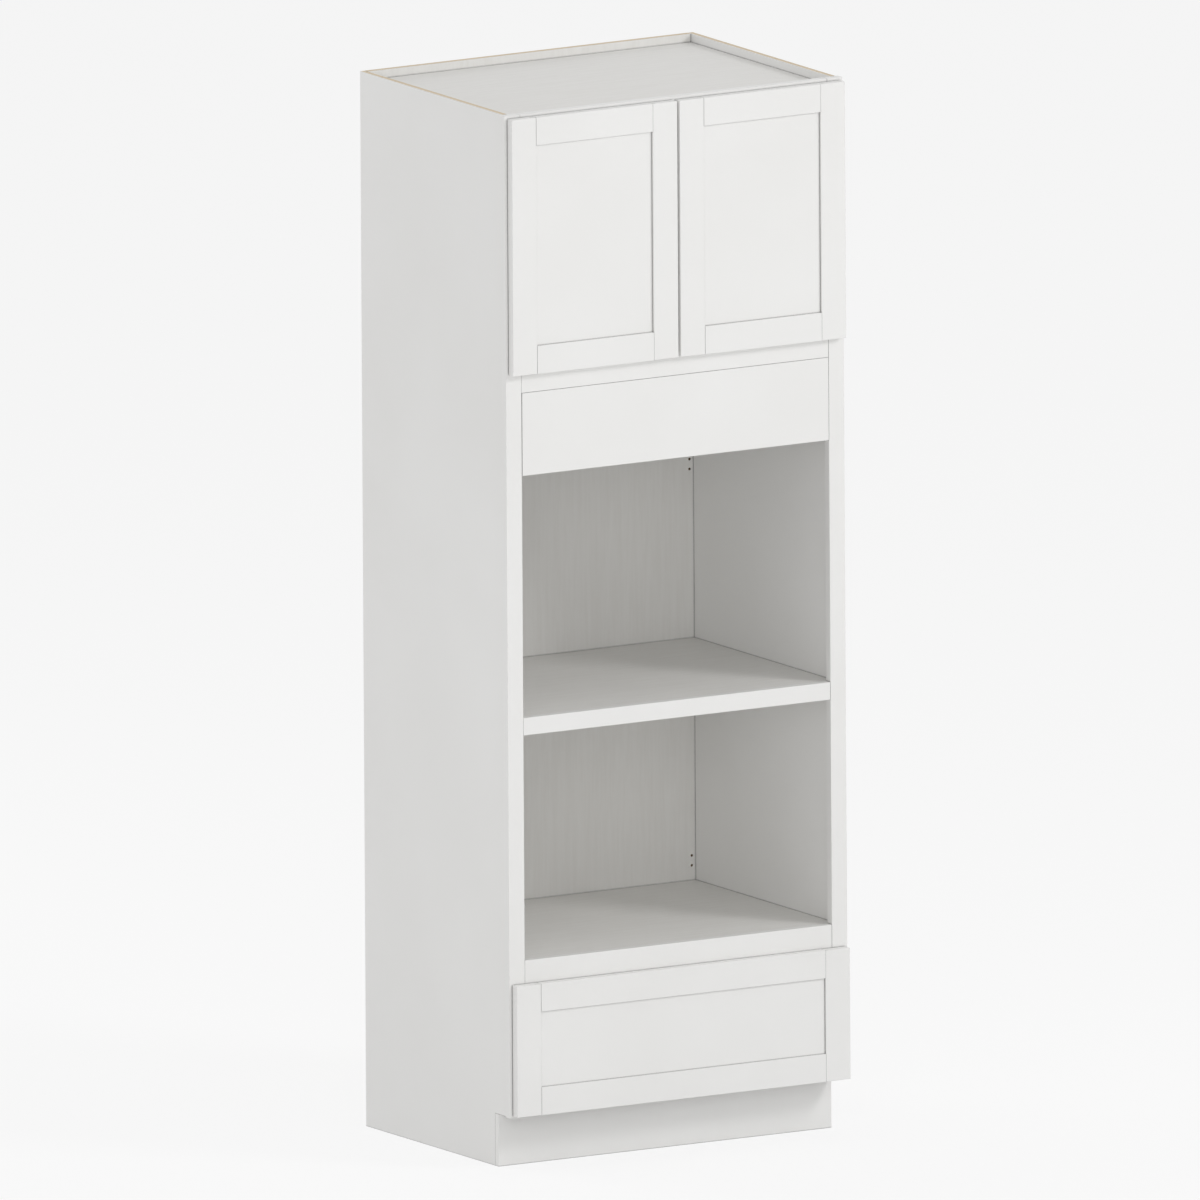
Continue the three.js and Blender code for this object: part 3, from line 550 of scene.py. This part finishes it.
def add_bumpers():
    """Two at each door's free edge and one at each corner of the drawer front."""
    for side, hand in SIDES.items():
        free_stile = "right" if side == "left" else "left"
        low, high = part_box(f"{side}_door_stile_{free_stile}")
        x = (low.x if hand > 0 else high.x) + hand * BUMPER_INSET
        places = [Vector((x, high.y, z)) for z in (low.z + BUMPER_INSET, high.z - BUMPER_INSET)]
        bumpers(f"{side}_door_bumpers", places, f"{side}_door")
    low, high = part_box("drawer_front_stile_left")[0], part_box("drawer_front_stile_right")[1]
    places = [
        Vector((x, high.y, z))
        for x in (low.x + BUMPER_INSET, high.x - BUMPER_INSET)
        for z in (low.z + BUMPER_INSET, high.z - BUMPER_INSET)
    ]
    bumpers("drawer_front_bumpers", places, "drawer")


# The slides' section, as in their own solids
SLIDE_THICKNESS = 12.7 * MM
GAUGE = 1.2 * MM
TOUCH = 0.3 * MM  # the gap between touching parts
BALL_RADIUS = 1.6 * MM
RACE_RADIUS = BALL_RADIUS + TOUCH + GAUGE / 2
OUTER_WEB = SLIDE_THICKNESS - TOUCH - GAUGE / 2
INNER_WEB = TOUCH + GAUGE / 2
FIRST_BALLS = OUTER_WEB - RACE_RADIUS
SECOND_BALLS = FIRST_BALLS - 2 * RACE_RADIUS


class Slide:
    """Places on one slide. t is counted from the drawer box outwards, and z from the slide's middle."""

    def __init__(self, side):
        self.hand = SIDES[side]
        low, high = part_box(f"slide_{side}_middle")
        box_low, box_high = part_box(f"drawer_box_side_{side}")
        self.box_face = (box_high if self.hand > 0 else box_low).x
        self.level = (low.z + high.z) / 2
        self.front, self.rear = low.y, high.y
        self.ball_height = (high.z - low.z) / 2 - RACE_RADIUS - GAUGE / 2

    def at(self, t, y, z=0):
        return Vector((self.box_face + self.hand * t, y, self.level + z))


BALL_SIDES, BALL_RINGS = 12, 8
BALL_PITCH = 11 * MM
CAGE_BALLS = 20
CAGE_GAUGE = 0.4 * MM
CAGE_INSET = 20 * MM
CAGE_LINES = {  # from a cage's web to its upper balls, as t and the height above these balls
    "first": ((10.7 * MM, -1.4 * MM), (10.4 * MM, -0.8 * MM), (FIRST_BALLS, 0)),
    "second": ((6.3 * MM, -3.2 * MM), (5.8 * MM, -1.6 * MM), (SECOND_BALLS, 0)),
}
CAGE_BODIES = {"first": "cabinet", "second": "slide_middles"}


def add_ball_cage(side, row):
    """A strip that holds one row of balls at its upper edge and one at its lower edge."""
    slide = Slide(side)
    y0 = slide.front + CAGE_INSET
    y1 = y0 + CAGE_BALLS * BALL_PITCH
    upper = [(t, slide.ball_height + rise) for t, rise in CAGE_LINES[row]]
    line = [slide.at(t, 0, -z).xz for t, z in reversed(upper)] + [slide.at(t, 0, z).xz for t, z in upper]
    cage, balls = bmesh.new(), bmesh.new()
    prism(cage, ribbon(line, [CAGE_GAUGE] * len(line)), lambda p: (p.x, y0, p.y), lambda p: (p.x, y1, p.y))
    t_balls = CAGE_LINES[row][-1][0]
    for i in range(CAGE_BALLS):
        for end in (-1, 1):
            place = slide.at(t_balls, y0 + (i + 0.5) * BALL_PITCH, end * slide.ball_height)
            bmesh.ops.create_uvsphere(balls, u_segments=BALL_SIDES, v_segments=BALL_RINGS,
                                      radius=BALL_RADIUS, matrix=Matrix.Translation(place))
    body = CAGE_BODIES[row]
    add_small_parts(f"slide_{side}_{row}_cage", cage, ZINC, body)
    add_small_parts(f"slide_{side}_{row}_balls", balls, BALL, body)


SLOT_INSET = 10 * MM  # of a rail's end slots
FRONT_SCREW_INSET = 7 * MM  # in a front slot, pushed towards its front end
PILOT_INSET = 9.5 * MM  # of the wall panel's holes outside the frame's opening
PILOT_SPACING = 21.5 * MM


def add_slide_screws():
    """The screws that hold a slide to the drawer box, to the frame and to the wall panel."""
    for side, hand in SIDES.items():
        slide = Slide(side)
        front = slide.front + FRONT_SCREW_INSET
        along = (front, (slide.front + slide.rear) / 2, slide.rear - SLOT_INSET)
        inner = [slide.at(INNER_WEB + GAUGE / 2, y) for y in along]
        screws(f"slide_{side}_inner_screws", "inner_rail", inner, (hand, 0, 0), "drawer")
        outer = [slide.at(OUTER_WEB - GAUGE / 2, front)]
        screws(f"slide_{side}_outer_screw", "outer_rail", outer, (-hand, 0, 0), "cabinet")
        stile_low, stile_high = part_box(f"frame_stile_{side}")
        x = (stile_low if hand > 0 else stile_high).x + hand * PILOT_INSET
        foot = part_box(f"slide_{side}_outer")[1].y - GAUGE
        pilots = [Vector((x, foot, slide.level + end * PILOT_SPACING / 2)) for end in (-1, 1)]
        screws(f"slide_{side}_bracket_screws", "bracket", pilots, (0, -1, 0), "cabinet")


LEVER_LINE = ((-22, 0), (-8, 1.5), (6, -1), (16, -5), (25, -10.5))  # mm rearwards and up, from its middle
LEVER_WIDTHS = (9, 7, 6, 5.5, 4.5)  # mm, at each point of its line
LEVER_THICKNESS = 2.2 * MM
LEVER_FORWARD = 60 * MM  # of its middle, from the slide's
LEVER_EASE = 0.6 * MM


def add_release_levers():
    """The bent plastic lever in each inner rail that lets the drawer off its slides."""
    outline = ribbon([Vector(p) * MM for p in LEVER_LINE], [w * MM for w in LEVER_WIDTHS])
    near = INNER_WEB + GAUGE / 2 + TOUCH
    far = near + LEVER_THICKNESS
    for side in SIDES:
        slide = Slide(side)
        y = (slide.front + slide.rear) / 2 - LEVER_FORWARD
        bm = bmesh.new()
        faces = prism(
            bm, outline, lambda p: slide.at(near, y + p.x, p.y), lambda p: slide.at(far, y + p.x, p.y)
        )
        bmesh.ops.bevel(bm, geom=faces[1].edges[:], offset=LEVER_EASE, segments=2, profile=0.5,
                        affect="EDGES")
        add_small_parts(f"slide_{side}_release_lever", bm, LEVER, "drawer")


FRONT_SCREWS = (190 * MM, 45 * MM)  # from the middle of the box front, across and up


def add_front_screws():
    """The screws through the box front that hold the drawer front."""
    low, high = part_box("drawer_box_front")
    middle = (low + high) / 2
    across, up = FRONT_SCREWS
    places = [Vector((x * across, high.y, middle.z + z * up)) for x in (-1, 1) for z in (-1, 1)]
    screws("drawer_front_screws", "drawer_front", places, (0, 1, 0), "drawer")


# ------------------------------------------------------------------ studio

FLOOR_SIZE = 60.0
FLOOR_GLOW = 0.8  # the share of plain white in the floor that the camera sees; the rest takes shadow


def seen_rays(nodes, links):
    """One for the rays that show a thing to the camera, straight or by way of metal and glass."""
    path = nodes.new("ShaderNodeLightPath")
    seen = path.outputs["Is Camera Ray"]
    for other in ("Is Glossy Ray", "Is Transmission Ray"):
        either = nodes.new("ShaderNodeMath")
        either.operation = "MAXIMUM"
        links.new(seen, either.inputs[0])
        links.new(path.outputs[other], either.inputs[1])
        seen = either.outputs[0]
    return seen


def add_floor():
    """A pale floor. To the camera it is part plain white, so that it looks white with a soft shadow."""
    bm = bmesh.new()
    bmesh.ops.create_grid(bm, x_segments=1, y_segments=1, size=FLOOR_SIZE / 2)
    mesh = bpy.data.meshes.new("floor")
    bm.to_mesh(mesh)
    bm.free()
    s = Shader("floor_pale")
    s.feed("Base Color", s.blend(s.noise(2.0, 2.0), (0.86, 0.86, 0.86), (0.88, 0.88, 0.88)))
    s.set("Roughness", 0.9)
    s.set("Specular IOR Level", 0.1)
    glow = s.nodes.new("ShaderNodeEmission")
    mix = s.nodes.new("ShaderNodeMixShader")
    share = s.nodes.new("ShaderNodeMath")
    share.operation = "MULTIPLY"
    share.inputs[1].default_value = FLOOR_GLOW
    s.link(seen_rays(s.nodes, s.links), share.inputs[0])
    s.link(share.outputs[0], mix.inputs[0])
    s.link(s.surface.outputs[0], mix.inputs[1])
    s.link(glow.outputs[0], mix.inputs[2])
    s.link(mix.outputs[0], s.nodes["Material Output"].inputs["Surface"])
    mesh.materials.append(s.material)
    floor = bpy.data.objects.new("floor", mesh)
    bpy.context.scene.collection.objects.link(floor)


WORLD_LIGHT = 0.62  # of the even light from all sides, where 1 would show white as white by itself


def add_world():
    """Even light on the object, and plain white behind it."""
    world = bpy.data.worlds.new("studio")
    bpy.context.scene.world = world
    world.use_nodes = True
    nodes, links = world.node_tree.nodes, world.node_tree.links
    light = nodes["Background"]
    light.inputs["Color"].default_value = (1, 1, 1, 1)
    light.inputs["Strength"].default_value = WORLD_LIGHT
    seen = nodes.new("ShaderNodeBackground")
    seen.inputs["Color"].default_value = (1, 1, 1, 1)
    mix = nodes.new("ShaderNodeMixShader")
    links.new(seen_rays(nodes, links), mix.inputs[0])
    links.new(light.outputs[0], mix.inputs[1])
    links.new(seen.outputs[0], mix.inputs[2])
    links.new(mix.outputs[0], nodes["World Output"].inputs["Surface"])


LAMPS = {  # place and aim in metres, width in metres and power in watts
    "key": ((3.6, -5.0, 4.8), (0, 0, 1.2), 1.6, 116),
    "fill": ((-3.4, -5.2, 2.0), (0, 0.1, 1.15), 3.0, 54),
    "rear": ((-2.6, 4.8, 3.4), (0, 0.2, 1.2), 3.0, 50),
}


def add_lamp(name, place, aim, size, power):
    """A square soft light."""
    lamp = bpy.data.lights.new(name, "AREA")
    lamp.shape = "SQUARE"
    lamp.size = size
    lamp.energy = power
    obj = bpy.data.objects.new(name, lamp)
    obj.location = place
    obj.rotation_mode = "QUATERNION"
    obj.rotation_quaternion = (Vector(aim) - Vector(place)).to_track_quat("-Z", "Y")
    bpy.context.scene.collection.objects.link(obj)


def add_studio():
    add_floor()
    add_world()
    for name, settings in LAMPS.items():
        add_lamp(name, *settings)
    bpy.context.scene.view_settings.view_transform = "Standard"


add_camera()
dress_boards()
dress_metal()
add_hinge_screws()
add_bumpers()
for slide_side in SIDES:
    for ball_row in CAGE_BODIES:
        add_ball_cage(slide_side, ball_row)
add_slide_screws()
add_release_levers()
add_front_screws()
add_studio()
